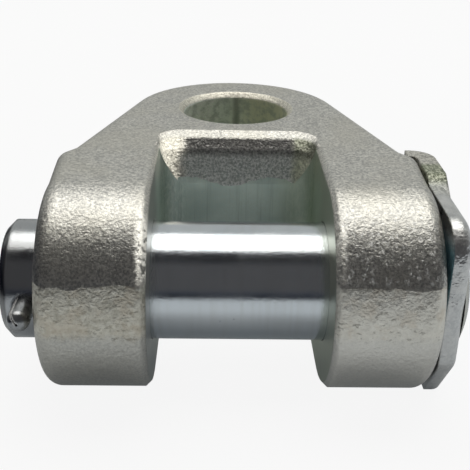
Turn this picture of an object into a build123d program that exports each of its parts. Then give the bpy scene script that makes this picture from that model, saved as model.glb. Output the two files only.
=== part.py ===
from build123d import *
import math
import os

os.makedirs("parts", exist_ok=True)

# Clevis rod end, in millimetres: a forged fork with an eye at its closed end, a pin with a
# head plate through the two ears, and a slotted spring pin across the pin's free end.
# The origin is the middle of the eye's bore and +Z runs along that bore. The ears point
# along -Y, the pin runs along X and its head plate is on the +X side.

# Fork
fork_height = 50.0
fork_width = 90.0
ear_toe = 0.9
ear_flat = 3.0
slot_width = 40.0
eye_to_pin = 60.0
eye_bore = 30.0
eye_chamfer = 1.5
nose_radius = 31.1
forging_draft = 1.5
forged_edge_radius = 3.8
ear_back = 22.8
shoulder_step = 2.0
shoulder_slant = 2.8
shoulder_radius = 4.2
milled_edge_break = 1.2

# Slot milled between the ears, and the forged recesses that meet it above and below
slot_depth = 29.5
slot_corner_radius = 4.5
web_height = 13.0
recess_draft = 10.0
recess_flare = 5.7
recess_mouth = 7.6
recess_rounding = 6.5
recess_foot_margin = 2.1
recess_waist_margin = 0.7
recess_mouth_overlap = 1.5
recess_roll_steps = 3
recess_foot_corner = 2.6
recess_waist_corner = 3.8
recess_mouth_corner = 6.5

# Clevis pin
pin_diameter = 28.0
pin_play = 0.2
pin_overhang = 8.5
pin_end_chamfer = 1.6
pin_proud = 2.0
pin_head_chamfer = 0.8

# Spring pin across the clevis pin's free end
spring_pin_diameter = 5.0
spring_pin_wall = 1.0
spring_pin_slit = 1.2
spring_pin_length = 40.0
spring_pin_chamfer = 0.8
spring_pin_gap = 0.3
spring_pin_squeeze = 0.02
slit_turn = 135.0

# Head plate, bent round the shoulder of the ear so that the pin cannot turn
plate_thickness = 4.6
plate_play = 0.05
tab_play = 0.2
plate_front = 18.4
plate_top = 21.8
plate_bottom = 24.0
plate_rear_top = 23.6
plate_step_start = 8.0
plate_step_end = 11.0
plate_top_corner = 8.0
plate_cut_start = 12.5
plate_cut_width = 8.5
plate_cut_corner = 5.0
bend_radius = 1.0
tab_reach = 2.0
plate_edge_radius = 2.9
plate_hole_play = 0.02

# Weld round the clevis pin on the outside of the head plate
weld_leg = 3.0
weld_height = 1.6
weld_play = 0.02

# Sizes that follow from the ones above
half_height = fork_height / 2
half_width = fork_width / 2
half_slot = slot_width / 2
half_ear_front = half_width - ear_toe
pin_y = -eye_to_pin
pin_radius = pin_diameter / 2
pin_bore_radius = pin_radius + pin_play
slot_wall = pin_y + slot_depth
cut_margin = 5.0
front_y = pin_y - half_height - 2 * cut_margin
match_tolerance = 0.01


def edges_through(builder, axis, *points):
    """Return the straight edges along an axis that pass through any of the points."""
    found = ShapeList()
    for point in points:
        found += builder.edges().filter_by(axis).filter_by(
            lambda edge: (edge.center() - Vector(point)).cross(axis.direction).length < match_tolerance
        )
    return found


# Fork body. The upper half is forged first: drafted from the parting line at mid height round
# the nose and the flanks, with round ears and rounded outer edges. The lower half is its mirror
# image. The ears' outer faces step in a little towards the front.
shoulder_x = half_width - shoulder_step
shoulder_y = pin_y + ear_back
shoulder_distance = math.hypot(shoulder_x, shoulder_y)
shoulder_bearing = math.atan2(shoulder_y, shoulder_x)
touch_angle = shoulder_bearing + math.acos(nose_radius / shoulder_distance)
touch_point = (nose_radius * math.cos(touch_angle), nose_radius * math.sin(touch_angle))
mid_angle = (touch_angle + math.pi / 2) / 2
mid_point = (nose_radius * math.cos(mid_angle), nose_radius * math.sin(mid_angle))

# The recess slopes back from the milled web and then rolls out into the top face in steps.
recess_rise = math.tan(math.radians(recess_draft))
recess_spread = math.tan(math.radians(recess_flare))
rounding_start = half_height - recess_rounding
waist_y = slot_wall + (rounding_start - web_height) * recess_rise
recess_levels = [(web_height, slot_wall, half_slot - recess_foot_margin, recess_foot_corner)]
for step in range(recess_roll_steps + 1):
    roll = step / recess_roll_steps
    level = rounding_start + recess_rounding * math.sin(roll * math.pi / 2)
    back_y = waist_y + recess_mouth * (1 - math.cos(roll * math.pi / 2))
    widening = roll * (recess_mouth_overlap + recess_waist_margin)
    half_breadth = half_slot - recess_waist_margin + widening
    corner = recess_waist_corner + roll * (recess_mouth_corner - recess_waist_corner)
    recess_levels.append((level, back_y, half_breadth, corner))

with BuildPart() as fork_body:
    with BuildSketch(Plane.XY):
        with BuildLine():
            Polyline(
                (0, front_y),
                (half_ear_front, front_y),
                (half_ear_front, pin_y + ear_flat),
                (half_width, shoulder_y - shoulder_slant),
                (shoulder_x, shoulder_y),
                touch_point,
            )
            ThreePointArc(touch_point, mid_point, (0, nose_radius))
            mirror(about=Plane.YZ)
        make_face()
    extrude(amount=half_height)
    nose_and_flanks = fork_body.faces().filter_by(Axis.Z, reverse=True).filter_by(
        lambda face: face.center().Y > shoulder_y + match_tolerance
    )
    draft(nose_and_flanks, Plane.XY, forging_draft)
    shoulder_edges = fork_body.edges().filter_by(
        lambda edge: shoulder_y - shoulder_slant - match_tolerance < edge.center().Y
        and edge.center().Y < shoulder_y + match_tolerance
        and abs(edge.center().Z - half_height / 2) < match_tolerance
    )
    fillet(shoulder_edges, radius=shoulder_radius)

    with BuildSketch(Plane.YZ):
        with Locations((pin_y, 0)):
            Circle(half_height)
        with Locations((pin_y, -cut_margin)):
            Rectangle(
                eye_to_pin + nose_radius + cut_margin,
                fork_height,
                align=(Align.MIN, Align.MIN),
            )
    extrude(amount=half_width + cut_margin, both=True, mode=Mode.INTERSECT)

    top_face = fork_body.faces().sort_by(Axis.Z)[-1]
    ear_fronts = fork_body.faces().filter_by(GeomType.CYLINDER).sort_by(Axis.Y)[0:1]
    rim = top_face.edges() + ear_fronts[0].edges()
    fillet(rim.filter_by(lambda edge: abs(edge.center().X) > cut_margin), radius=forged_edge_radius)
    mirror(about=Plane.XY)

    with BuildSketch(Plane.XY) as slot:
        with Locations((0, slot_wall)):
            Rectangle(slot_width, slot_wall - front_y, align=(Align.CENTER, Align.MAX))
        fillet(slot.vertices().group_by(Axis.Y)[-1], radius=slot_corner_radius)
    extrude(amount=half_height + cut_margin, both=True, mode=Mode.SUBTRACT)
    slot_arcs = fork_body.edges().filter_by(GeomType.CIRCLE).filter_by(
        lambda edge: abs(edge.radius - half_height) < match_tolerance
        and abs(edge.center().X) < half_slot + match_tolerance
    )
    chamfer(slot_arcs, length=milled_edge_break)

    for side in (1, -1):
        for level, back_y, half_breadth, corner in recess_levels:
            half_front = half_breadth - (back_y - front_y) * recess_spread
            with BuildSketch(Plane.XY.offset(side * level)):
                with BuildLine():
                    FilletPolyline(
                        (-half_front, front_y),
                        (-half_breadth, back_y),
                        (half_breadth, back_y),
                        (half_front, front_y),
                        radius=corner,
                    )
                    Line((half_front, front_y), (-half_front, front_y))
                make_face()
        loft(ruled=True, mode=Mode.SUBTRACT)

    with BuildSketch(Plane.XY):
        Circle(eye_bore / 2)
    extrude(amount=half_height + cut_margin, both=True, mode=Mode.SUBTRACT)
    eye_rims = fork_body.edges().filter_by(GeomType.CIRCLE).filter_by(
        lambda edge: abs(edge.radius - eye_bore / 2) < match_tolerance
    )
    chamfer(eye_rims, length=eye_chamfer)

    with BuildSketch(Plane.YZ):
        with Locations((pin_y, 0)):
            Circle(pin_bore_radius)
    extrude(amount=half_width + cut_margin, both=True, mode=Mode.SUBTRACT)
fork_body.part.label = "fork_body"
export_step(fork_body.part, "parts/fork_body.step")

# Clevis pin, with a chamfered free end and a cross hole for the spring pin.
plate_inner_x = half_width + plate_play
plate_outer_x = plate_inner_x + plate_thickness
pin_free_x = -half_width - pin_overhang
pin_head_x = plate_outer_x + pin_proud
spring_pin_x = -half_width - spring_pin_gap - spring_pin_diameter / 2

with BuildPart() as clevis_pin:
    with BuildSketch(Plane.YZ.offset(pin_free_x)):
        with Locations((pin_y, 0)):
            Circle(pin_radius)
    extrude(amount=pin_head_x - pin_free_x)
    chamfer(clevis_pin.edges().group_by(Axis.X)[0], length=pin_end_chamfer)
    chamfer(clevis_pin.edges().group_by(Axis.X)[-1], length=pin_head_chamfer)
    with BuildSketch(Plane.XZ.offset(-pin_y)):
        with Locations((spring_pin_x, 0)):
            Circle(spring_pin_diameter / 2 + spring_pin_squeeze)
    extrude(amount=pin_radius + cut_margin, both=True, mode=Mode.SUBTRACT)
clevis_pin.part.label = "clevis_pin"
export_step(clevis_pin.part, "parts/clevis_pin.step")

# Spring pin: a rolled tube with a slit along it and a chamfer at each end.
with BuildPart() as spring_pin:
    with BuildSketch(Plane.XZ.offset(-pin_y)):
        with Locations((spring_pin_x, 0)):
            Circle(spring_pin_diameter / 2)
    extrude(amount=spring_pin_length / 2, both=True)
    chamfer(spring_pin.edges().filter_by(GeomType.CIRCLE), length=spring_pin_chamfer)
    with BuildSketch(Plane.XZ.offset(-pin_y)):
        with Locations((spring_pin_x, 0)):
            Circle(spring_pin_diameter / 2 - spring_pin_wall)
            with Locations(Rotation(0, 0, slit_turn)):
                Rectangle(spring_pin_diameter, spring_pin_slit, align=(Align.MIN, Align.CENTER))
    extrude(amount=spring_pin_length, both=True, mode=Mode.SUBTRACT)
spring_pin.part.label = "spring_pin"
export_step(spring_pin.part, "parts/spring_pin.step")

# Head plate. It is bent from flat stock round the shoulder of the ear, then its outline is
# cut, and the edges round the front of its outer face are rolled over.
plate_shoulder_y = shoulder_y + tab_play
tab_outer_y = plate_shoulder_y + plate_thickness
tab_end_x = half_width - tab_reach
plate_front_y = pin_y - plate_front

with BuildPart() as head_plate:
    with BuildSketch(Plane.XY.offset(-plate_bottom)):
        with BuildLine():
            Polyline(
                (plate_outer_x, plate_front_y),
                (plate_outer_x, tab_outer_y),
                (tab_end_x, tab_outer_y),
                (tab_end_x, plate_shoulder_y),
                (plate_inner_x, plate_shoulder_y),
                (plate_inner_x, plate_front_y),
                close=True,
            )
        make_face()
    extrude(amount=plate_bottom + plate_rear_top)
    fillet(
        edges_through(head_plate, Axis.Z, (plate_outer_x, tab_outer_y)),
        radius=bend_radius + plate_thickness,
    )
    fillet(
        edges_through(head_plate, Axis.Z, (plate_inner_x, plate_shoulder_y)),
        radius=bend_radius,
    )

    with BuildSketch(Plane.YZ.offset(tab_end_x - cut_margin)):
        with BuildLine():
            Polyline(
                (tab_outer_y + cut_margin, -plate_bottom),
                (plate_front_y + plate_cut_width, -plate_bottom),
                (plate_front_y, -plate_cut_start),
                (plate_front_y, plate_top),
                (pin_y + plate_step_start, plate_top),
                (pin_y + plate_step_end, plate_rear_top),
                (tab_outer_y + cut_margin, plate_rear_top),
                close=True,
            )
        make_face()
    extrude(amount=plate_outer_x - tab_end_x + 2 * cut_margin, mode=Mode.INTERSECT)
    fillet(
        edges_through(head_plate, Axis.X, (0, plate_front_y, plate_top)),
        radius=plate_top_corner,
    )
    fillet(
        edges_through(head_plate, Axis.X, (0, plate_front_y, -plate_cut_start)),
        radius=plate_cut_corner,
    )
    outer_face = head_plate.faces().sort_by(Axis.X)[-1]
    front_rim = outer_face.edges().filter_by(
        lambda edge: edge.center().Y < pin_y + plate_step_start
        and edge.center().Z > match_tolerance - plate_bottom
    )
    fillet(front_rim, radius=plate_edge_radius)

    with BuildSketch(Plane.YZ):
        with Locations((pin_y, 0)):
            Circle(pin_radius + plate_hole_play)
    extrude(amount=plate_outer_x + cut_margin, mode=Mode.SUBTRACT)
head_plate.part.label = "head_plate"
export_step(head_plate.part, "parts/head_plate.step")

# Weld bead round the pin where it comes through the head plate.
with BuildPart() as pin_weld:
    with BuildSketch(Plane.XY):
        with BuildLine():
            Polyline(
                (plate_outer_x, pin_y + pin_radius + weld_play),
                (plate_outer_x, pin_y + pin_radius + weld_leg),
                (plate_outer_x + weld_height, pin_y + pin_radius + weld_play),
                close=True,
            )
        make_face()
    revolve(axis=Axis((0, pin_y, 0), (1, 0, 0)), revolution_arc=360)
pin_weld.part.label = "pin_weld"
export_step(pin_weld.part, "parts/pin_weld.step")
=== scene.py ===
"""Studio picture of a clevis rod end: a forged fork with an eye, its headed pin and a spring pin.

All lengths are in metres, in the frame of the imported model: the origin is the middle of the
eye's bore, +Z runs along the bore and the ears point along -Y.
"""
import math
from types import SimpleNamespace

import bpy
import numpy as np
from mathutils import Matrix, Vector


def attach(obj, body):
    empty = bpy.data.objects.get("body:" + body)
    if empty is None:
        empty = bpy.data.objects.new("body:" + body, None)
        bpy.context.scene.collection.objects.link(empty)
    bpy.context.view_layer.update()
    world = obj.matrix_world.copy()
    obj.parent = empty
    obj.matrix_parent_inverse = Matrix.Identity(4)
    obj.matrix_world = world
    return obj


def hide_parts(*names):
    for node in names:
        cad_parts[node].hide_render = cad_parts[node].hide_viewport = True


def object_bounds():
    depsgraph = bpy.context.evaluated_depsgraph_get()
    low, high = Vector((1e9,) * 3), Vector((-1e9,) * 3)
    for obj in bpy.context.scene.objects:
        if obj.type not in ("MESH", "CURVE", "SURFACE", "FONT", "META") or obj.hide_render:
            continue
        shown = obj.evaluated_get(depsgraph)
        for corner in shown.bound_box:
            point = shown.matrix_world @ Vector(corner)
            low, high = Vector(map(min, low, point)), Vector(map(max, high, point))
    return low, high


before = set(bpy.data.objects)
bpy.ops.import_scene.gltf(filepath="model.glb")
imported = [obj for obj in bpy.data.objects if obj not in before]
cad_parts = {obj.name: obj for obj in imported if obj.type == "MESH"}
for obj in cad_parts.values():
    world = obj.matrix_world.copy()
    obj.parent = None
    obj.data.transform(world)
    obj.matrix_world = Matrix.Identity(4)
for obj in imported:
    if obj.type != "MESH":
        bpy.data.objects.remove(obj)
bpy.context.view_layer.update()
MM = 0.001

# The fork's sizes that the finishes need
HALF_HEIGHT = 25 * MM
HALF_SLOT = 20 * MM
SLOT_WALL_Y = -30.5 * MM
SLOT_CORNER = 4.5 * MM
WEB_HEIGHT = 13 * MM
RECESS_BACK_Y = -21.8 * MM
RECESS_FRONT_Y = SLOT_WALL_Y - 4 * MM
RECESS_SIDE_X = HALF_SLOT + 2 * MM
RECESS_CORNER_X = 14.6 * MM
EYE_RADIUS = 15 * MM
EYE_RIM_RADIUS = 16.5 * MM
PIN_Y = -60 * MM
PIN_LEFT_BEND = -51.6 * MM
PLATE_BACK_X = 45.1 * MM

# How far a mask reaches past the true face, so that the flat facets of the mesh stay inside it
FACE_SLACK = 0.02 * MM
BORE_SLACK = 0.05 * MM
CORNER_SLACK = 0.08 * MM
WALL_SLACK = 0.7 * MM

# Wavy line between the milled wall and the forged recess
WAVE_LENGTH = 22 * MM
WAVE_HEIGHT = 1.2 * MM
WAVE_TURN = 3.7
WAVE_FRAY = 2 * MM
WAVE_DROP = 0.4 * MM

# Spring pin: its place, its sizes and the angle at which its slit faces up and outwards
SPRING_PIN_X = -47.8 * MM
SPRING_PIN_RADIUS = 2.5 * MM
SPRING_PIN_BORE = 0.3 * MM
SPRING_PIN_GAP = 0.25 * MM
SPRING_PIN_ROUND = 2.1 * MM
SPRING_PIN_REACH = 21.7 * MM
SPRING_PIN_SLIT_TURN = math.radians(125)

# Flash trimmed off the forging: a band above the parting line, with its faces dished a little
TRIM_FOOT = -1.2 * MM
TRIM_TOP = 10 * MM
TRIM_DEPTH = 1.5 * MM
TRIM_WAVE = 4 * MM
TRIM_FRAY = 4 * MM

# Slopes by which the recess's rolled lip leans forwards, and by which its two corners and the
# slot's edge lean upwards
LIP_TILT = 0.3
LEFT_CORNER_TILT = 0.9
RIGHT_CORNER_TILT = 0.12
INNER_EDGE_TILT = 0.42

# From here on a pair of lengths says where something begins and where it is fully there.
# The forged recess, by the level above or below half height
DEEP_WALL = 23.5 * MM, 20 * MM
SUNK_LIP = 24.5 * MM, 23.8 * MM
SMOOTH_LIP = 24.2 * MM, 23.7 * MM
UNDER_LIP_FOOT = 19.6 * MM, 21.2 * MM
UNDER_LIP_TOP = 24.1 * MM, 23.6 * MM
DARK_CORNER_TOP = 18.5 * MM, 21.5 * MM

# The ears: along Y, along X, by height and out from the middle of the slot
EAR_FRONT = PIN_Y - 8 * MM, PIN_Y - 16 * MM
BEFORE_PIN = PIN_Y + 4 * MM, PIN_Y - 4 * MM
RIGHT_EAR = 0.0, 24 * MM
EAR_FOOT = -18 * MM, -24.5 * MM
INNER_EDGE = HALF_SLOT + 3.2 * MM, HALF_SLOT + 1.4 * MM

# The slot: its cheeks and its wall along Y, and the wall's corners and right side along X
CHEEK_FRONT = -42 * MM, -56 * MM
NEAR_WALL = SLOT_WALL_Y - 7 * MM, SLOT_WALL_Y - 3 * MM
WALL_CORNERS = 11.5 * MM, 15.5 * MM
WALL_RIGHT = 8 * MM, 17 * MM

# The eye's bore along X, and out from a dark line down its back
BORE_RIGHT = -4 * MM, 8 * MM
BORE_LEFT = 0.0, -8 * MM
BORE_LINE_X = 0.5 * MM
BORE_LINE = 1.6 * MM, 0.1 * MM

# The pin: out from its axis and along X
PIN_SIDE = 12 * MM, 12.5 * MM
PIN_DARK_BAND_SPAN = -44 * MM, -46 * MM
PIN_CHAMFER = PIN_LEFT_BEND, PIN_LEFT_BEND - 0.6 * MM

# The head plate: its raised rear part, the slope in front of that, the change from grey to green
# on it, the strip behind the plate's face where a teal reflection is painted, and the hammered
# front
RAISED_Y = PIN_Y + 9 * MM
RAISED_FRONT = RAISED_Y - 2 * MM, RAISED_Y + 1 * MM
RAISED_FOOT = 12 * MM, 20 * MM
SLOPE_FRONT = RAISED_Y - 9 * MM, RAISED_Y - 5 * MM
GREEN_FRONT = -41 * MM, -44 * MM
STRIP_BACK_X = PLATE_BACK_X + 0.25 * MM, PLATE_BACK_X + 0.05 * MM
STRIP_BACK_Y = RAISED_Y - 2 * MM, RAISED_Y - 4 * MM
STRIP_FOOT = -2 * MM, 8 * MM
STRIP_TOP = 20 * MM, 15 * MM
HAMMERED_Y = PIN_Y - 14 * MM, PIN_Y - 18 * MM
HAMMERED_Z = 0.0, 6 * MM

# The sheet that the object stands on: its front and left edges, and the shade round the object's
# feet that its polished faces mirror
SHEET_FRONT = -246 * MM, -234 * MM
SHEET_LEFT = -140 * MM, -100 * MM
SHADE_FRONT = -114 * MM, -86 * MM
SHADE_BACK = 70 * MM, 40 * MM
SHADE_SIDES = 90 * MM, 50 * MM

# Colours of the fork. A pair is the dark and the light side of a grain
BLASTED_SKIN = (0.37, 0.37, 0.36), (0.73, 0.72, 0.675)
SKIN_CLOUD = (0.60, 0.58, 0.51)
TORN_BAND = (0.54, 0.51, 0.43), (0.76, 0.735, 0.65)
TORN_GLINT = (0.72, 0.70, 0.63)
TORN_BLOTCH = (0.52, 0.47, 0.38)
TORN_SPECK = (0.20, 0.185, 0.15)
BELOW_PARTING = (0.60, 0.59, 0.55)
PARTING_DASH = (0.22, 0.20, 0.16)
PALE_EAR = (0.92, 0.90, 0.85)
EAR_PIT = (0.25, 0.23, 0.19)
BROWN_STAIN = (0.60, 0.50, 0.38)
# Painted shade at the feet of the ears
PAINTED_FOOT_SHADE = (0.16, 0.16, 0.16)
BRIGHT_FLECK = (0.92, 0.92, 0.90)
# Painted highlight along the ears' inner edges
PAINTED_EDGE_HIGHLIGHT = (0.95, 0.94, 0.89)
RECESS_WALL = (0.50, 0.52, 0.50), (1.0, 1.0, 0.98)
# Painted shade under the recess's lip
LIP_PAINTED_SHADE = (0.16, 0.16, 0.155), (0.42, 0.41, 0.40)
WARM_CORNER = (0.5, 0.48, 0.42), (0.86, 0.84, 0.75)
GREEN_CORNER = (0.50, 0.52, 0.41), (0.84, 0.86, 0.70)
# Painted shade at the top of the right corner, under the lip
CORNER_PAINTED_SHADE = (0.16, 0.17, 0.13), (0.38, 0.39, 0.32)
MILLED = (0.66, 0.76, 0.71), (0.80, 0.89, 0.83)
MILLED_GLINT = (0.74, 0.80, 0.71)
MILLED_FRONT = (0.52, 0.525, 0.50)
MILLED_CHATTER = (0.92, 0.98, 0.92)
MILLED_STREAK = (0.26, 0.33, 0.27)
MILLED_RIGHT = (0.50, 0.56, 0.38)
EYE_RIM = (0.55, 0.53, 0.46), (0.85, 0.83, 0.74)
BORE_WALL = (0.86, 0.91, 0.85), (0.80, 0.81, 0.64)
# Painted sparkle highlights on the bore's left side
BORE_PAINTED_SPARKLE = (1.0, 1.0, 1.0)
BORE_BLOTCH = (0.42, 0.48, 0.43)
BORE_DARK = (0.16, 0.18, 0.15)

# Colours of the smaller pieces
PIN_ZINC = (0.63, 0.68, 0.725), (0.73, 0.77, 0.805)
PIN_SPECK = (0.35, 0.35, 0.36)
PIN_RING = (0.50, 0.48, 0.45)
PIN_DARK_BAND = (0.27, 0.27, 0.28)
# Painted dark reflection on the pin's chamfer
PAINTED_CHAMFER_REFLECTION = (0.12, 0.12, 0.12)
PLATE_ZINC = (0.52, 0.53, 0.535), (0.66, 0.665, 0.66)
PLATE_GLINT = (0.80, 0.80, 0.79)
PLATE_SLOPE = (0.22, 0.23, 0.21), (0.62, 0.63, 0.60)
PLATE_GREEN = (0.15, 0.17, 0.12), (0.52, 0.54, 0.44)
PLATE_GREY = (0.30, 0.30, 0.28), (0.62, 0.61, 0.57)
# Painted teal reflection in the gap between ear and plate
PAINTED_TEAL_REFLECTION = (0.20, 0.38, 0.44)
SPRING_STEEL = (0.28, 0.29, 0.30), (0.44, 0.45, 0.46)
# Painted highlight along the spring pin's slit
SPRING_SLIT_HIGHLIGHT = (0.92, 0.92, 0.92)
WELD_ZINC = (0.38, 0.38, 0.34), (0.58, 0.58, 0.54)

# Colours of the studio
DARK_TABLE = (0.04, 0.045, 0.07)
PALE_SHEET = (0.84, 0.86, 0.88)
SHEET_MIRRORED = (0.63, 0.67, 0.69)
WHITE = (1.0, 1.0, 1.0)
LAMP_WHITE = (1.0, 0.972, 0.9)
FLAG_SHADES = (0.05, 0.055, 0.068), (0.083, 0.081, 0.082), (0.02, 0.02, 0.022)
BACK_SHADES = (0.44, 0.455, 0.44), (0.48, 0.49, 0.475), (0.48, 0.49, 0.475)

# Camera, as fitted to the photograph
CAMERA_ANGLES = 1.552, 24.913, 1.338
CAMERA_PLACE = np.array([-5.708, -235.307, 93.253]) * MM
CAMERA_LENS = 63.75
CAMERA_SENSOR = 36.0


# Objects
def posed(right, above, back, place):
    """The matrix of an object, from its own three axes and its place."""
    rows = np.eye(4)
    rows[:3] = np.stack([right, above, back, place], axis=1)
    return Matrix(rows.tolist())


def aim_camera():
    """Place the camera from its heading, tilt and roll: the view direction is heading and tilt
    as an azimuth and elevation, and roll turns the picture's axes about that direction."""
    heading, tilt, roll = (math.radians(a) for a in CAMERA_ANGLES)
    level_ahead = np.array([math.sin(heading), math.cos(heading), 0.0])
    ahead = level_ahead * math.cos(tilt) - np.array([0.0, 0.0, math.sin(tilt)])
    right = np.array([math.cos(heading), -math.sin(heading), 0.0])
    above = np.cross(right, ahead)
    turned_right = right * math.cos(roll) + above * math.sin(roll)
    turned_above = above * math.cos(roll) - right * math.sin(roll)
    data = bpy.data.cameras.new("camera")
    data.sensor_width = CAMERA_SENSOR
    data.lens = CAMERA_LENS
    data.clip_start = 10 * MM
    camera = bpy.data.objects.new("camera", data)
    camera.matrix_world = posed(turned_right, turned_above, -ahead, CAMERA_PLACE)
    bpy.context.collection.objects.link(camera)
    bpy.context.scene.camera = camera


def mesh_object(name, points, faces):
    """A new object with a mesh of its own, linked to the scene."""
    mesh = bpy.data.meshes.new(name)
    mesh.from_pydata(points, [], faces)
    made = bpy.data.objects.new(name, mesh)
    bpy.context.collection.objects.link(made)
    return made


# Node helpers
def new_material(name):
    """Return an empty node material with its output node."""
    material = bpy.data.materials.new(name)
    material.use_nodes = True
    tree = material.node_tree
    tree.nodes.clear()
    return material, tree, tree.nodes.new("ShaderNodeOutputMaterial")


def put(tree, socket, value):
    """Set a socket to a number or a colour, or link it to another node's output."""
    if isinstance(value, bpy.types.NodeSocket):
        tree.links.new(value, socket)
    else:
        socket.default_value = value


def sums(tree, operation, first, second=0.0, third=0.0, clamp=False):
    """A Math node."""
    node = tree.nodes.new("ShaderNodeMath")
    node.operation = operation
    node.use_clamp = clamp
    for socket, value in zip(node.inputs, (first, second, third)):
        put(tree, socket, value)
    return node.outputs[0]


def product(tree, first, *others):
    """The product of two or more values."""
    for value in others:
        first = sums(tree, "MULTIPLY", first, value)
    return first


def all_but(tree, share, part):
    """1 less a part of a share."""
    return sums(tree, "MULTIPLY_ADD", share, -part, 1.0)


def below(tree, value, limit):
    """1 where a value is less than a limit, and 0 elsewhere."""
    return sums(tree, "LESS_THAN", value, limit)


def beyond(tree, value, limit):
    """1 where a value is more than a limit, and 0 elsewhere."""
    return sums(tree, "GREATER_THAN", value, limit)


def size_of(tree, value):
    """A value without its sign."""
    return sums(tree, "ABSOLUTE", value)


def distance(tree, first, second):
    """The square root of the sum of two squares."""
    squares = sums(tree, "ADD", product(tree, first, first), product(tree, second, second))
    return sums(tree, "SQRT", squares)


def ramp(tree, value, low, high, to_low=0.0, to_high=1.0):
    """A smooth step of value between low and high."""
    node = tree.nodes.new("ShaderNodeMapRange")
    node.interpolation_type = "SMOOTHSTEP"
    names = "Value", "From Min", "From Max", "To Min", "To Max"
    for name, item in zip(names, (value, low, high, to_low, to_high)):
        put(tree, node.inputs[name], item)
    return node.outputs["Result"]


def noise(tree, where, scale, detail=2.0, rough=0.5):
    """A noise of the object's own coordinates, from 0 to 1."""
    node = tree.nodes.new("ShaderNodeTexNoise")
    names = "Vector", "Scale", "Detail", "Roughness"
    for name, item in zip(names, (where, scale, detail, rough)):
        put(tree, node.inputs[name], item)
    return node.outputs["Fac"]


def streaks(tree, where, squeeze, scale, detail=2.0, rough=0.5):
    """A noise of coordinates that are squeezed by one factor for each axis, which draws it out
    into streaks along the axes with small factors."""
    node = tree.nodes.new("ShaderNodeMapping")
    put(tree, node.inputs["Vector"], where)
    node.inputs["Scale"].default_value = squeeze
    return noise(tree, node.outputs["Vector"], scale, detail, rough)


def cells(tree, where, scale):
    """Distance to the nearest of scattered points, in cell widths."""
    node = tree.nodes.new("ShaderNodeTexVoronoi")
    put(tree, node.inputs["Vector"], where)
    put(tree, node.inputs["Scale"], scale)
    return node.outputs["Distance"]


def blend_colour(tree, share, first, second):
    """Mix two colours by a share."""
    node = tree.nodes.new("ShaderNodeMix")
    node.data_type = "RGBA"
    put(tree, node.inputs["Factor"], share)
    for name, item in (("A", first), ("B", second)):
        socket = [s for s in node.inputs if s.name == name and s.type == "RGBA"][0]
        put(tree, socket, item if isinstance(item, bpy.types.NodeSocket) else (*item, 1.0))
    return [s for s in node.outputs if s.type == "RGBA"][0]


def lay(tree, under, over, *shares):
    """Lay a colour over another one, by the product of some shares."""
    return blend_colour(tree, product(tree, *shares), under, over)


def relief(tree, height, depth, strength=1.0, under=None):
    """A Bump node for a height from 0 to 1 that stands for a depth in metres. Where the height is
    a coordinate, the depth is a slope, and the surface leans by it."""
    node = tree.nodes.new("ShaderNodeBump")
    put(tree, node.inputs["Height"], height)
    node.inputs["Distance"].default_value = depth
    put(tree, node.inputs["Strength"], strength)
    if under is not None:
        put(tree, node.inputs["Normal"], under)
    return node.outputs["Normal"]


def soft_edges(tree, radius):
    """The normal of a surface whose edges are rounded by a radius, for corners that the solid
    keeps sharp or faceted."""
    node = tree.nodes.new("ShaderNodeBevel")
    node.samples = 6
    put(tree, node.inputs["Radius"], radius)
    return node.outputs["Normal"]


def metal_shader(tree, output, colour, roughness, normal, metallic=1.0):
    """A metal surface from its colour, roughness and relief. Less than fully metallic is a dull
    skin on the metal."""
    shader = tree.nodes.new("ShaderNodeBsdfPrincipled")
    put(tree, shader.inputs["Metallic"], metallic)
    put(tree, shader.inputs["Base Color"], colour)
    put(tree, shader.inputs["Roughness"], roughness)
    put(tree, shader.inputs["Normal"], normal)
    tree.links.new(shader.outputs["BSDF"], output.inputs["Surface"])


def mix_shaders(tree, output, share, first, second):
    """The second shader by a share, and the first for the rest."""
    mix = tree.nodes.new("ShaderNodeMixShader")
    for socket, value in zip(mix.inputs, (share, first.outputs[0], second.outputs[0])):
        put(tree, socket, value)
    tree.links.new(mix.outputs[0], output.inputs["Surface"])


def own_coordinates(tree):
    """The object's coordinates as a vector and as separate X, Y and Z."""
    where = tree.nodes.new("ShaderNodeTexCoord").outputs["Object"]
    split = tree.nodes.new("ShaderNodeSeparateXYZ")
    tree.links.new(where, split.inputs[0])
    return where, split.outputs["X"], split.outputs["Y"], split.outputs["Z"]


# Finishes
def slot_mask(tree, where, x, y, z):
    """1 on the milled faces of the slot: its cheeks, its round corners and its end wall, up to
    the wavy line where the forged recess begins."""
    side = size_of(tree, x)
    corner_x = sums(tree, "SUBTRACT", side, HALF_SLOT - SLOT_CORNER)
    corner_y = sums(tree, "SUBTRACT", y, SLOT_WALL_Y - SLOT_CORNER)
    reach = distance(tree, corner_x, corner_y)
    round_corner = below(tree, reach, SLOT_CORNER + CORNER_SLACK)
    in_corner = product(tree, round_corner, beyond(tree, corner_x, 0.0))
    near_cheek = below(tree, side, HALF_SLOT + FACE_SLACK)
    on_cheek = product(tree, near_cheek, below(tree, corner_y, 0.0))
    swing = sums(tree, "MULTIPLY_ADD", x, 2 * math.pi / WAVE_LENGTH, WAVE_TURN)
    fray = streaks(tree, where, (1.0, 0.0, 0.0), 450, 3, 0.6)
    line = sums(tree, "MULTIPLY_ADD", fray, WAVE_FRAY, WEB_HEIGHT - WAVE_DROP)
    line = sums(tree, "MULTIPLY_ADD", sums(tree, "COSINE", swing), WAVE_HEIGHT, line)
    below_line = below(tree, size_of(tree, z), line)
    near_wall = below(tree, y, SLOT_WALL_Y + WALL_SLACK)
    on_wall = product(tree, below_line, near_wall, below(tree, corner_x, 0.0))
    return sums(tree, "MAXIMUM", on_wall, sums(tree, "MAXIMUM", in_corner, on_cheek))


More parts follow.
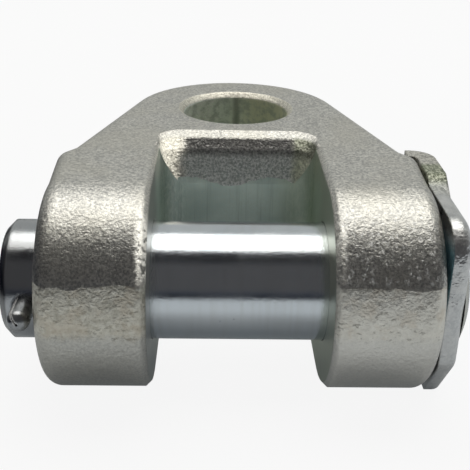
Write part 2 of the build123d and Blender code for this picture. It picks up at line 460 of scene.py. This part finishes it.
def trim_band(tree, where, z):
    """The band where the flash was trimmed round the forging, from a wavy upper edge down to the
    parting line: its share, and the square of how far up it a point is from 0 to 1."""
    wave = streaks(tree, where, (1.0, 1.0, 0.0), 95, 3, 0.6)
    height = sums(tree, "ADD", z, sums(tree, "MULTIPLY_ADD", wave, TRIM_WAVE, -TRIM_WAVE / 2))
    from_foot = sums(tree, "SUBTRACT", height, TRIM_FOOT)
    climb = sums(tree, "DIVIDE", from_foot, TRIM_TOP - TRIM_FOOT, clamp=True)
    below_top = ramp(tree, height, TRIM_TOP + 0.2 * MM, TRIM_TOP - 0.2 * MM)
    frayed_z = sums(tree, "MULTIPLY_ADD", noise(tree, where, 600, 3, 0.7), TRIM_FRAY, z)
    above_foot = ramp(tree, frayed_z, TRIM_FOOT + 0.1 * TRIM_FRAY, TRIM_FOOT + 0.9 * TRIM_FRAY)
    return product(tree, below_top, above_foot), product(tree, climb, climb)


def fork_grains(tree, where):
    """The patterns that the fork's forged skin, its milled faces and its eye share."""
    grains = SimpleNamespace()
    grains.mottle = noise(tree, where, 420, 4, 0.65)
    grains.fine = noise(tree, where, 1700, 2, 0.7)
    grains.coarse = noise(tree, where, 800, 2, 0.6)
    grains.glints = ramp(tree, grains.fine, 0.34, 0.66)
    pattern = streaks(tree, where, (0.5, 0.5, 1.0), 1100, 3, 0.7)
    grains.specks = ramp(tree, pattern, 0.57, 0.67)
    grains.tool_marks = streaks(tree, where, (1.0, 1.0, 0.03), 2600, 2)
    return grains


def fork_zones(tree, where, x, y, z, grains):
    """Where the fork's finishes lie, each as a share from 0 to 1: milled, bored and forged
    surface, the trimmed band, the ears and their edges, and the parts of the recess."""
    zones = SimpleNamespace()
    zones.side, zones.level = size_of(tree, x), size_of(tree, z)
    zones.milled = slot_mask(tree, where, x, y, z)
    radius = distance(tree, x, y)
    zones.bore = below(tree, radius, EYE_RADIUS + BORE_SLACK)
    in_rim = below(tree, radius, EYE_RIM_RADIUS + BORE_SLACK)
    zones.rim = sums(tree, "SUBTRACT", in_rim, zones.bore, clamp=True)
    zones.cut = sums(tree, "MAXIMUM", zones.milled, zones.bore)
    zones.forged = sums(tree, "SUBTRACT", 1.0, zones.cut)
    band, zones.climb = trim_band(tree, where, z)
    zones.band = product(tree, band, zones.forged)
    zones.front = ramp(tree, y, *EAR_FRONT)
    zones.before_pin = ramp(tree, y, *BEFORE_PIN)
    zones.right_ear = ramp(tree, x, *RIGHT_EAR)
    zones.near_wall = ramp(tree, y, *NEAR_WALL)

    between_sides = below(tree, zones.side, RECESS_SIDE_X)
    along_recess = product(tree, beyond(tree, y, RECESS_FRONT_Y), below(tree, y, RECESS_BACK_Y))
    zones.recess = product(tree, between_sides, along_recess, zones.forged)
    zones.lip = product(tree, zones.recess, below(tree, zones.level, HALF_HEIGHT - FACE_SLACK))
    zones.deep = product(tree, zones.recess, ramp(tree, zones.level, *DEEP_WALL))
    sunk_lip = product(tree, zones.lip, ramp(tree, zones.level, *SUNK_LIP))
    edge = sums(tree, "MULTIPLY_ADD", noise(tree, where, 350, 3, 0.6), 3 * MM, x)
    in_left = ramp(tree, edge, 4 * MM - RECESS_CORNER_X, -RECESS_CORNER_X)
    in_right = ramp(tree, edge, RECESS_CORNER_X, RECESS_CORNER_X + 3 * MM)
    zones.left_corner = product(tree, sunk_lip, in_left)
    zones.right_corner = product(tree, sunk_lip, in_right)
    zones.wall = sums(tree, "SUBTRACT", zones.deep, zones.left_corner, clamp=True)

    pattern = streaks(tree, where, (1.0, 1.0, 0.4), 1000, 2, 0.7)
    above_band = ramp(tree, z, TRIM_TOP, TRIM_TOP + 2 * MM)
    zones.flecks = product(
        tree, ramp(tree, pattern, 0.54, 0.68), zones.front, zones.right_ear, above_band
    )
    zones.inner_edge = product(
        tree,
        ramp(tree, zones.side, *INNER_EDGE),
        zones.forged,
        zones.front,
        all_but(tree, zones.right_ear, 0.6),
        ramp(tree, z, TRIM_TOP - 1 * MM, TRIM_TOP + 1 * MM),
        ramp(tree, grains.coarse, 0.3, 0.5),
    )
    return zones


def skin_colour(tree, where, z, zones, grains):
    """The blasted skin outside: clouded, torn and stained in the trimmed band, dashed along the
    parting line, paler on the right ear, with painted shade at the feet of the ears and a painted
    highlight along their inner edges."""
    cloud = ramp(tree, noise(tree, where, 60, 3), 0.35, 0.7)
    skin = blend_colour(tree, grains.glints, *BLASTED_SKIN)
    skin = lay(tree, skin, SKIN_CLOUD, cloud, 0.4)
    torn = blend_colour(tree, ramp(tree, grains.coarse, 0.32, 0.68), *TORN_BAND)
    torn = lay(tree, torn, TORN_GLINT, grains.glints, 0.45)
    torn = lay(tree, torn, TORN_BLOTCH, ramp(tree, grains.mottle, 0.5, 0.75), 0.3)
    torn = lay(tree, torn, TORN_SPECK, grains.specks, 0.55)
    skin = lay(tree, skin, torn, zones.band)
    under_parting = ramp(tree, z, TRIM_FOOT + 1.5 * MM, TRIM_FOOT - 1.5 * MM)
    skin = lay(tree, skin, BELOW_PARTING, under_parting, 0.6)
    from_parting = size_of(tree, sums(tree, "SUBTRACT", z, TRIM_FOOT))
    parting = ramp(tree, from_parting, 0.7 * MM, 0.2 * MM)
    dashes = ramp(tree, streaks(tree, where, (0.6, 0.6, 1.0), 520, 3, 0.7), 0.53, 0.60)
    skin = lay(tree, skin, PARTING_DASH, parting, dashes, 0.6)
    lower = product(tree, zones.front, ramp(tree, z, TRIM_TOP + 1 * MM, TRIM_TOP - 1 * MM))
    skin = lay(tree, skin, PALE_EAR, lower, zones.right_ear, 0.5)
    skin = lay(tree, skin, EAR_PIT, zones.band, zones.right_ear, grains.specks, 0.5)
    stain = ramp(tree, noise(tree, where, 230, 3, 0.6), 0.48, 0.66)
    skin = lay(tree, skin, BROWN_STAIN, zones.band, stain, 0.3)
    # Painted shade at the feet of the ears, in front of the pin
    skin = lay(tree, skin, PAINTED_FOOT_SHADE, zones.before_pin, ramp(tree, z, *EAR_FOOT), 0.3)
    skin = lay(tree, skin, BRIGHT_FLECK, zones.flecks, 0.9)
    # Painted highlight along the ears' inner edges, on top of their upward lean
    return lay(tree, skin, PAINTED_EDGE_HIGHLIGHT, zones.inner_edge, 0.8)


def recess_colour(tree, skin, zones, grains):
    """The forged recess over the skin: a pale wall with painted shade on its upper part under the
    lip, a warm left corner and a green right corner with painted shade at its top."""
    glints, level = grains.glints, zones.level
    skin = lay(tree, skin, blend_colour(tree, glints, *RECESS_WALL), zones.deep)
    # Painted shade on the recess wall's upper part, under the lip
    dark = blend_colour(tree, glints, *LIP_PAINTED_SHADE)
    above_foot, below_top = ramp(tree, level, *UNDER_LIP_FOOT), ramp(tree, level, *UNDER_LIP_TOP)
    skin = lay(tree, skin, dark, zones.recess, above_foot, below_top, 0.85)
    skin = lay(tree, skin, blend_colour(tree, glints, *WARM_CORNER), zones.left_corner)
    green = blend_colour(tree, glints, *GREEN_CORNER)
    # Painted shade at the top of the green right corner, under the lip
    dark = blend_colour(tree, glints, *CORNER_PAINTED_SHADE)
    green = lay(tree, green, dark, ramp(tree, level, *DARK_CORNER_TOP))
    return lay(tree, skin, green, zones.right_corner)


def milled_colour(tree, where, x, y, zones, grains):
    """The milled slot: a greenish zinc that turns grey towards the ears' fronts, with pale
    chatter in the wall's corners and faint dark streaks down the wall."""
    cloud = ramp(tree, noise(tree, where, 120, 2), 0.35, 0.65)
    colour = blend_colour(tree, cloud, *MILLED)
    colour = lay(tree, colour, MILLED_GLINT, grains.glints, 0.4)
    colour = lay(tree, colour, MILLED_FRONT, ramp(tree, y, *CHEEK_FRONT))
    in_corners = product(tree, zones.near_wall, ramp(tree, zones.side, *WALL_CORNERS))
    chatter = ramp(tree, streaks(tree, where, (1.0, 1.0, 0.35), 1500, 3, 0.8), 0.44, 0.60)
    colour = lay(tree, colour, MILLED_CHATTER, in_corners, chatter, 0.7)
    long_marks = ramp(tree, streaks(tree, where, (1.0, 1.0, 0.02), 700, 3, 0.7), 0.50, 0.66)
    colour = lay(tree, colour, MILLED_STREAK, zones.near_wall, long_marks, 0.2)
    return lay(tree, colour, MILLED_RIGHT, ramp(tree, x, *WALL_RIGHT), 0.45)


def bore_colour(tree, x, grains):
    """The drilled eye: paler on the left with painted sparkle highlights there, yellower on the
    right, with blotches and a soft dark line down the back."""
    colour = blend_colour(tree, ramp(tree, x, *BORE_RIGHT), *BORE_WALL)
    # Painted sparkle highlights on the bore's left side
    colour = lay(tree, colour, BORE_PAINTED_SPARKLE, ramp(tree, x, *BORE_LEFT), grains.glints, 0.7)
    colour = lay(tree, colour, BORE_BLOTCH, ramp(tree, grains.mottle, 0.4, 0.65), 0.5)
    from_line = size_of(tree, sums(tree, "SUBTRACT", x, BORE_LINE_X))
    return lay(tree, colour, BORE_DARK, ramp(tree, from_line, *BORE_LINE), 0.5)


def fork_roughness(tree, zones, grains):
    """How dull the fork is: the recess's wall most, then flecks, edges and the bore."""
    skin = ramp(tree, grains.mottle, 0.25, 0.75, 0.44, 0.34)
    cut = ramp(tree, grains.tool_marks, 0.3, 0.7, 0.36, 0.44)
    for share, more in ((zones.wall, 0.3), (zones.flecks, 0.25), (zones.inner_edge, 0.1)):
        skin = sums(tree, "MULTIPLY_ADD", share, more, skin)
    for share, more in ((zones.bore, 0.18), (zones.near_wall, 0.14)):
        cut = sums(tree, "MULTIPLY_ADD", share, more, cut)
    return sums(tree, "ADD", product(tree, skin, zones.forged), product(tree, cut, zones.cut))


def fork_relief(tree, where, y, zones, grains):
    """The fork's relief: soft edges outside, a dished trimmed band, leaning faces in the recess
    and at the slot's edge, pits and grain on the forged skin, and fine marks where it is cut."""
    on_skin = all_but(tree, zones.cut, 0.9)
    rounded = soft_edges(tree, sums(tree, "MULTIPLY_ADD", zones.milled, -1.0 * MM, 1.2 * MM))
    band_fronts = product(tree, zones.front, zones.forged)
    ragged = ramp(tree, noise(tree, where, 800, 3, 0.7), 0.30, 0.52)
    lip_shape = sums(tree, "MAXIMUM", ragged, ramp(tree, zones.level, *SMOOTH_LIP))
    lip = product(tree, zones.lip, lip_shape, all_but(tree, zones.right_corner, 0.9))
    inwards = product(tree, zones.level, -1.0)
    normal = rounded
    for height, depth, share in (
        (zones.climb, TRIM_DEPTH, band_fronts),
        (y, LIP_TILT, lip),
        (inwards, LEFT_CORNER_TILT, zones.left_corner),
        (inwards, RIGHT_CORNER_TILT, zones.right_corner),
        (inwards, INNER_EDGE_TILT, zones.inner_edge),
        (noise(tree, where, 150, 2), 0.14 * MM, on_skin),
        (grains.coarse, 0.14 * MM, on_skin),
        (noise(tree, where, 1100, 2, 0.7), 0.2 * MM, zones.lip),
        (grains.fine, 0.12 * MM, on_skin),
        (grains.tool_marks, 0.008 * MM, zones.cut),
    ):
        normal = relief(tree, height, depth, share, normal)
    return normal


def fork_finish():
    """Shot-blasted forging skin with a trimmed band at half height, milled faces in the slot and
    a drilled eye."""
    material, tree, output = new_material("forged_zinc")
    where, x, y, z = own_coordinates(tree)
    grains = fork_grains(tree, where)
    zones = fork_zones(tree, where, x, y, z, grains)
    colour = recess_colour(tree, skin_colour(tree, where, z, zones, grains), zones, grains)
    colour = lay(tree, colour, milled_colour(tree, where, x, y, zones, grains), zones.cut)
    colour = lay(tree, colour, blend_colour(tree, grains.glints, *EYE_RIM), zones.rim)
    colour = lay(tree, colour, bore_colour(tree, x, grains), zones.bore)
    roughness = fork_roughness(tree, zones, grains)
    normal = fork_relief(tree, where, y, zones, grains)
    metal_shader(tree, output, colour, roughness, normal, all_but(tree, zones.wall, 0.6))
    return material


def pin_finish():
    """Ground and plated bar: faint rings round the pin, a few specks, and on its left end a
    darker band and a painted dark reflection on the chamfer."""
    material, tree, output = new_material("turned_zinc")
    where, x, y, z = own_coordinates(tree)
    cloud = noise(tree, where, 90, 3)
    not_speck = ramp(tree, cells(tree, where, 420), 0.05, 0.12)
    bands = ramp(tree, streaks(tree, where, (1.0, 0.06, 0.06), 420, 4, 0.7), 0.42, 0.68)
    from_axis = distance(tree, sums(tree, "SUBTRACT", y, PIN_Y), z)
    turned_side = ramp(tree, from_axis, *PIN_SIDE)
    colour = blend_colour(tree, cloud, *PIN_ZINC)
    speckled = ramp(tree, cloud, 0.55, 0.7)
    colour = lay(tree, colour, PIN_SPECK, sums(tree, "SUBTRACT", 1.0, not_speck), speckled)
    colour = lay(tree, colour, PIN_RING, bands, 0.14)
    # Darker colour on the pin's end beyond the left ear
    colour = lay(tree, colour, PIN_DARK_BAND, turned_side, ramp(tree, x, *PIN_DARK_BAND_SPAN), 0.6)
    # Painted dark reflection on the chamfer
    colour = lay(tree, colour, PAINTED_CHAMFER_REFLECTION, turned_side, ramp(tree, x, *PIN_CHAMFER), 0.85)
    roughness = ramp(tree, cloud, 0.3, 0.7, 0.13, 0.2)
    roughness = sums(tree, "MULTIPLY_ADD", bands, 0.03, roughness)
    rings = streaks(tree, where, (1.0, 0.04, 0.04), 2400, 3)
    normal = relief(tree, rings, 0.012 * MM, 1.0, soft_edges(tree, 1.4 * MM))
    normal = relief(tree, noise(tree, where, 700, 2), 0.02 * MM, 0.6, normal)
    normal = relief(tree, noise(tree, where, 1500, 2, 0.7), 0.03 * MM, 0.7, normal)
    metal_shader(tree, output, colour, roughness, normal)
    return material


def plate_finish():
    """Rolled and sheared plate, plated: drawn lines along its edges, a soft mottle, a pitted skin
    on its raised rear part, grey at the back and green in front, and a painted teal reflection on
    its inner face behind the front."""
    material, tree, output = new_material("plate_zinc")
    where, x, y, z = own_coordinates(tree)
    mottle = noise(tree, where, 350, 3)
    grain = noise(tree, where, 1500, 2, 0.7)
    glints = ramp(tree, grain, 0.36, 0.64)
    upper = ramp(tree, z, *RAISED_FOOT)
    raised = product(tree, ramp(tree, y, *RAISED_FRONT), upper)
    slope = product(tree, ramp(tree, y, *SLOPE_FRONT), upper)
    strip = product(
        tree,
        ramp(tree, x, *STRIP_BACK_X),
        ramp(tree, y, *STRIP_BACK_Y),
        ramp(tree, z, *STRIP_FOOT),
        ramp(tree, z, *STRIP_TOP),
    )
    colour = blend_colour(tree, ramp(tree, mottle, 0.3, 0.7), *PLATE_ZINC)
    colour = lay(tree, colour, PLATE_GLINT, glints, 0.35)
    colour = lay(tree, colour, blend_colour(tree, glints, *PLATE_SLOPE), slope, 0.6)
    green = blend_colour(tree, ramp(tree, grain, 0.38, 0.62), *PLATE_GREEN)
    grey = blend_colour(tree, glints, *PLATE_GREY)
    colour = lay(tree, colour, lay(tree, grey, green, ramp(tree, y, *GREEN_FRONT)), raised)
    # Painted teal reflection on the plate's inner face, where the gap to the ear shows
    colour = lay(tree, colour, PAINTED_TEAL_REFLECTION, strip)
    roughness = ramp(tree, mottle, 0.3, 0.7, 0.27, 0.38)
    roughness = sums(tree, "MULTIPLY_ADD", slope, 0.2, roughness)
    roughness = sums(tree, "MULTIPLY_ADD", strip, 0.3, roughness)
    lines = streaks(tree, where, (0.05, 0.15, 1.0), 1500, 3)
    hammered = product(tree, ramp(tree, y, *HAMMERED_Y), ramp(tree, z, *HAMMERED_Z))
    normal = relief(tree, lines, 0.08 * MM, 1.0, soft_edges(tree, 0.8 * MM))
    normal = relief(tree, noise(tree, where, 1100, 3), 0.13 * MM, 0.8, normal)
    normal = relief(tree, noise(tree, where, 520, 2, 0.6), 0.5 * MM, hammered, normal)
    normal = relief(tree, noise(tree, where, 900, 3, 0.7), 0.5 * MM, raised, normal)
    metal_shader(tree, output, colour, roughness, normal, all_but(tree, strip, 0.6))
    return material


def slit_distance(tree, x, z):
    """How far a point of the spring pin lies from the plane of its slit, and a long way on the
    side that has no slit."""
    cosine, sine = math.cos(SPRING_PIN_SLIT_TURN), math.sin(SPRING_PIN_SLIT_TURN)
    across = sums(tree, "SUBTRACT", x, SPRING_PIN_X)
    along_slit = sums(tree, "MULTIPLY_ADD", z, sine, product(tree, across, cosine))
    off_slit = sums(tree, "MULTIPLY_ADD", z, cosine, product(tree, across, -sine))
    no_slit = below(tree, along_slit, 0.0)
    return sums(tree, "MULTIPLY_ADD", no_slit, SPRING_PIN_RADIUS, size_of(tree, off_slit))


def spring_finish():
    """Plain rolled spring steel, with a painted highlight along the lips of the slit."""
    material, tree, output = new_material("spring_steel")
    where, x, _, z = own_coordinates(tree)
    mottle = noise(tree, where, 500, 3)
    # Painted highlight along the lips of the slit, made pale and less metallic
    slit_highlight = ramp(tree, slit_distance(tree, x, z), 0.5 * MM, 0.3 * MM)
    colour = blend_colour(tree, ramp(tree, mottle, 0.3, 0.7), *SPRING_STEEL)
    colour = lay(tree, colour, SPRING_SLIT_HIGHLIGHT, slit_highlight, 0.85)
    roughness = ramp(tree, mottle, 0.3, 0.7, 0.26, 0.36)
    normal = relief(tree, streaks(tree, where, (1.0, 0.05, 1.0), 2500, 2), 0.02 * MM)
    normal = relief(tree, noise(tree, where, 700, 2), 0.08 * MM, 1.0, normal)
    metal_shader(tree, output, colour, roughness, normal, all_but(tree, slit_highlight, 0.8))
    return material


def weld_finish():
    """Weld bead: a soft ripple and stained zinc."""
    material, tree, output = new_material("weld_bead")
    where = own_coordinates(tree)[0]
    mottle = noise(tree, where, 400, 3)
    colour = blend_colour(tree, ramp(tree, mottle, 0.3, 0.7), *WELD_ZINC)
    roughness = ramp(tree, mottle, 0.3, 0.7, 0.3, 0.45)
    normal = relief(tree, noise(tree, where, 600, 2), 0.25 * MM)
    metal_shader(tree, output, colour, roughness, normal)
    return material


# Pieces
def rolled_spring_pin(material):
    """The slotted spring pin, rolled almost shut. Each ring is an arc of the outer radius from
    one lip of the slit round to the other and the arc of the bore back again. The rings follow
    one another along Y, and near each end the outer radius falls off as a quarter circle."""
    arc_steps, end_steps = 56, 10
    bend = np.linspace(0.0, math.pi / 2, end_steps)
    from_end = SPRING_PIN_ROUND * (1 - np.sin(bend))
    end_radius = SPRING_PIN_RADIUS - SPRING_PIN_ROUND * (1 - np.cos(bend[::-1]))
    depth = np.concatenate([from_end[::-1], 2 * SPRING_PIN_REACH - from_end])
    outer = np.concatenate([end_radius, end_radius[::-1]])
    inner = np.full_like(outer, SPRING_PIN_BORE)
    turn = np.linspace(0.0, 1.0, arc_steps)

    def arc(radius):
        """X and Z of one arc for each ring, open by the slit's gap."""
        lip = np.arcsin(SPRING_PIN_GAP / 2 / radius)[:, None]
        angle = SPRING_PIN_SLIT_TURN + lip + turn[None, :] * (2 * math.pi - 2 * lip)
        return radius[:, None] * np.cos(angle), radius[:, None] * np.sin(angle)

    outer_x, outer_z = arc(outer)
    inner_x, inner_z = arc(inner)
    ring_x = np.concatenate([outer_x, inner_x[:, ::-1]], axis=1) + SPRING_PIN_X
    ring_z = np.concatenate([outer_z, inner_z[:, ::-1]], axis=1)
    ring_y = (PIN_Y - SPRING_PIN_REACH + depth)[:, None] + 0 * ring_x
    points = np.stack([ring_x, ring_y, ring_z], axis=-1).reshape(-1, 3)
    rings, around = ring_x.shape
    index = np.arange(rings * around).reshape(rings, around)
    following = np.roll(index, -1, axis=1)
    sides = np.stack([index[:-1], index[1:], following[1:], following[:-1]], axis=-1)
    row = np.arange(arc_steps - 1)
    cap = np.stack([row, row + 1, around - 2 - row, around - 1 - row], axis=-1)
    faces = np.concatenate([sides.reshape(-1, 4), cap, cap[:, ::-1] + index[-1, 0]])
    piece = mesh_object("spring_pin_rolled", points.tolist(), faces.tolist())
    piece.data.materials.append(material)
    piece.data.set_sharp_from_angle(angle=math.radians(40))
    piece.data.shade_smooth()
    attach(piece, "root")
    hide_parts("spring_pin")


def dress(node, material):
    """Give a CAD node's object its finish."""
    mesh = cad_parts[node].data
    mesh.materials.clear()
    mesh.materials.append(material)


# Studio
def ring_card(name, tilts, turns, radius, low, middle, high):
    """A curved card round the object: points at a fixed radius from the pin, between two
    elevations and two azimuths in degrees, where azimuth 0 is the camera's side. It glows in
    three shades from its foot to its top."""
    rows, columns = 13, 25
    tilt = np.radians(np.linspace(*tilts, rows))[:, None]
    turn = np.radians(np.linspace(*turns, columns))[None, :]
    points = np.stack([
        radius * np.cos(tilt) * np.sin(turn),
        PIN_Y - radius * np.cos(tilt) * np.cos(turn),
        radius * np.sin(tilt) + 0 * turn,
    ], axis=-1).reshape(-1, 3)
    index = np.arange(rows * columns).reshape(rows, columns)
    quads = np.stack([index[:-1, :-1], index[:-1, 1:], index[1:, 1:], index[1:, :-1]], axis=-1)
    card = mesh_object(name, points.tolist(), quads.reshape(-1, 4).tolist())
    card.visible_camera = False
    card.visible_shadow = False
    material, tree, output = new_material(name)
    height = own_coordinates(tree)[3]
    shade = blend_colour(tree, ramp(tree, height, 0.05 * radius, 0.14 * radius), low, middle)
    shade = lay(tree, shade, high, ramp(tree, height, 0.78 * radius, 0.92 * radius))
    glow = tree.nodes.new("ShaderNodeEmission")
    tree.links.new(shade, glow.inputs["Color"])
    tree.links.new(glow.outputs[0], output.inputs["Surface"])
    card.data.materials.append(material)


def lay_floor():
    """A pale sheet under the object that ends in front of it, with a dark table beyond. The
    camera sees the sheet nearly white, with the object's shadow kept, and the metal mirrors it
    darker round the object's feet."""
    half = 3.0
    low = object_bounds()[0][2]
    corners = [(-half, -half, low), (half, -half, low), (half, half, low), (-half, half, low)]
    floor = mesh_object("floor", corners, [(0, 1, 2, 3)])
    material, tree, output = new_material("floor_white")
    _, x, y, _ = own_coordinates(tree)
    path = tree.nodes.new("ShaderNodeLightPath")
    to_camera = path.outputs["Is Camera Ray"]
    sheet = product(tree, ramp(tree, y, *SHEET_FRONT), ramp(tree, x, *SHEET_LEFT))
    sheet = sums(tree, "MAXIMUM", sheet, to_camera)
    plain = tree.nodes.new("ShaderNodeBsdfDiffuse")
    put(tree, plain.inputs["Color"], blend_colour(tree, sheet, DARK_TABLE, PALE_SHEET))
    shaded = product(
        tree,
        ramp(tree, y, *SHADE_FRONT),
        ramp(tree, y, *SHADE_BACK),
        ramp(tree, size_of(tree, x), *SHADE_SIDES),
    )
    shaded = sums(tree, "SUBTRACT", shaded, to_camera, clamp=True)
    glow = tree.nodes.new("ShaderNodeEmission")
    put(tree, glow.inputs["Color"], blend_colour(tree, to_camera, SHEET_MIRRORED, WHITE))
    put(tree, glow.inputs["Strength"], product(tree, sheet, all_but(tree, shaded, 0.6)))
    seen = product(tree, to_camera, 0.9)
    seen = sums(tree, "MULTIPLY_ADD", path.outputs["Is Glossy Ray"], 0.45, seen)
    mix_shaders(tree, output, seen, plain, glow)
    floor.data.materials.append(material)


def light_world():
    """White for what the camera and reflections see, and a soft grey light for the rest."""
    world = bpy.data.worlds.new("studio")
    bpy.context.scene.world = world
    world.use_nodes = True
    tree = world.node_tree
    tree.nodes.clear()
    output = tree.nodes.new("ShaderNodeOutputWorld")
    path = tree.nodes.new("ShaderNodeLightPath")
    seen = sums(tree, "MAXIMUM", path.outputs["Is Camera Ray"], path.outputs["Is Glossy Ray"])
    seen = sums(tree, "MAXIMUM", seen, path.outputs["Is Transmission Ray"])
    soft, white = (tree.nodes.new("ShaderNodeBackground") for _ in range(2))
    for light, strength in ((soft, 0.7), (white, 1.0)):
        light.inputs["Color"].default_value = (*WHITE, 1.0)
        light.inputs["Strength"].default_value = strength
    mix_shaders(tree, output, seen, soft, white)


def hang_softbox(name, place, aim, width, depth, watts, colour):
    """A rectangular lamp at a place, facing a point."""
    data = bpy.data.lights.new(name, "AREA")
    data.shape = "RECTANGLE"
    data.size = width
    data.size_y = depth
    data.energy = watts
    data.color = colour
    lamp = bpy.data.objects.new(name, data)
    ray = np.array(aim) - np.array(place)
    ray = ray / np.linalg.norm(ray)
    up = np.cross(np.array([1.0, 0.0, 0.0]), ray)
    up = up / np.linalg.norm(up)
    lamp.matrix_world = posed(np.cross(ray, up), up, -ray, place)
    bpy.context.collection.objects.link(lamp)


aim_camera()
light_world()
lay_floor()
hang_softbox("overhead", (0.0, 0.16, 0.85), (0.0, PIN_Y, 0.0), 1.3, 0.62, 4.2, LAMP_WHITE)
ring_card("front_flag", (-1, 83), (-125, 100), 1.1, *FLAG_SHADES)
ring_card("back_card", (-1, 55), (100, 235), 1.1, *BACK_SHADES)

dress("fork_body", fork_finish())
dress("clevis_pin", pin_finish())
dress("head_plate", plate_finish())
rolled_spring_pin(spring_finish())
dress("pin_weld", weld_finish())

bpy.context.scene.view_settings.view_transform = "Standard"
